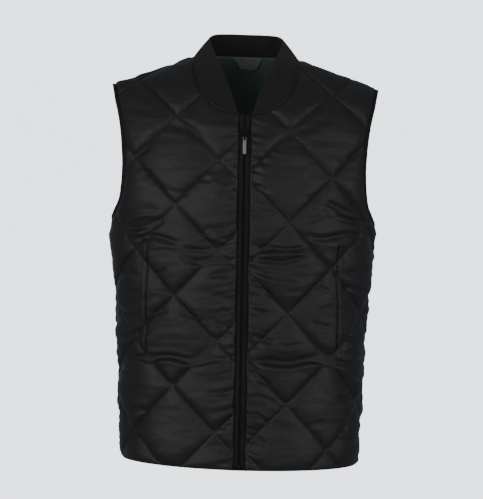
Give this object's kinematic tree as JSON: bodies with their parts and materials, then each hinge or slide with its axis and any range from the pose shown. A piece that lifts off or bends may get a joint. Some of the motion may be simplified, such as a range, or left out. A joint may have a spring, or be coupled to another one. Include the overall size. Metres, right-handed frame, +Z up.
{
  "type": "quilted vest",
  "caption": "Black satin vest with diamond quilting, a rib-knit collar, a front zip with a metal pull tab, slit pockets and bound armholes, filled out with no wearer.",
  "frame": {"origin": "on the centre line, level with the high points of the shoulders, where the wearer's shoulders and neck hold the vest up", "axes": "+Z up, the front with its zip faces -Y, and the wearer's left is +X"},
  "size_m": [0.4526, 0.2598, 0.7338],
  "materials": {
    "shell_satin": "black nylon satin with a soft sheen, diamond-quilted",
    "rib_knit": "matt black fine rib knit",
    "binding_tape": "matt black woven binding",
    "zip_tape_weave": "matt black woven zip tape",
    "zip_coil_nylon": "black nylon coil",
    "slider_paint": "black painted zinc",
    "pull_metal": "light grey brushed metal",
    "label_satin": "plain dark grey satin label, nothing on it"
  },
  "bodies": {
    "garment": {"front_right": "shell_satin", "front_left": "shell_satin", "back": "shell_satin", "collar": "rib_knit", "armhole_binding_right": "binding_tape", "armhole_binding_left": "binding_tape", "pocket_welt_right": "shell_satin", "pocket_welt_left": "shell_satin", "zip_tape_right": "zip_tape_weave", "zip_tape_left": "zip_tape_weave", "zip_coil": "zip_coil_nylon", "zip_box": "slider_paint", "zip_slider": "slider_paint", "neck_label": "label_satin"},
    "pull_tab": {"zip_pull": "pull_metal"}
  },
  "joints": [
    {"name": "pull_tab_hinge", "type": "hinge", "parent": "garment", "child": "pull_tab", "pos_m": [0, -0.11792, -0.1339], "axis": [-1, 0, 0], "range_deg": [0, 140]}
  ]
}
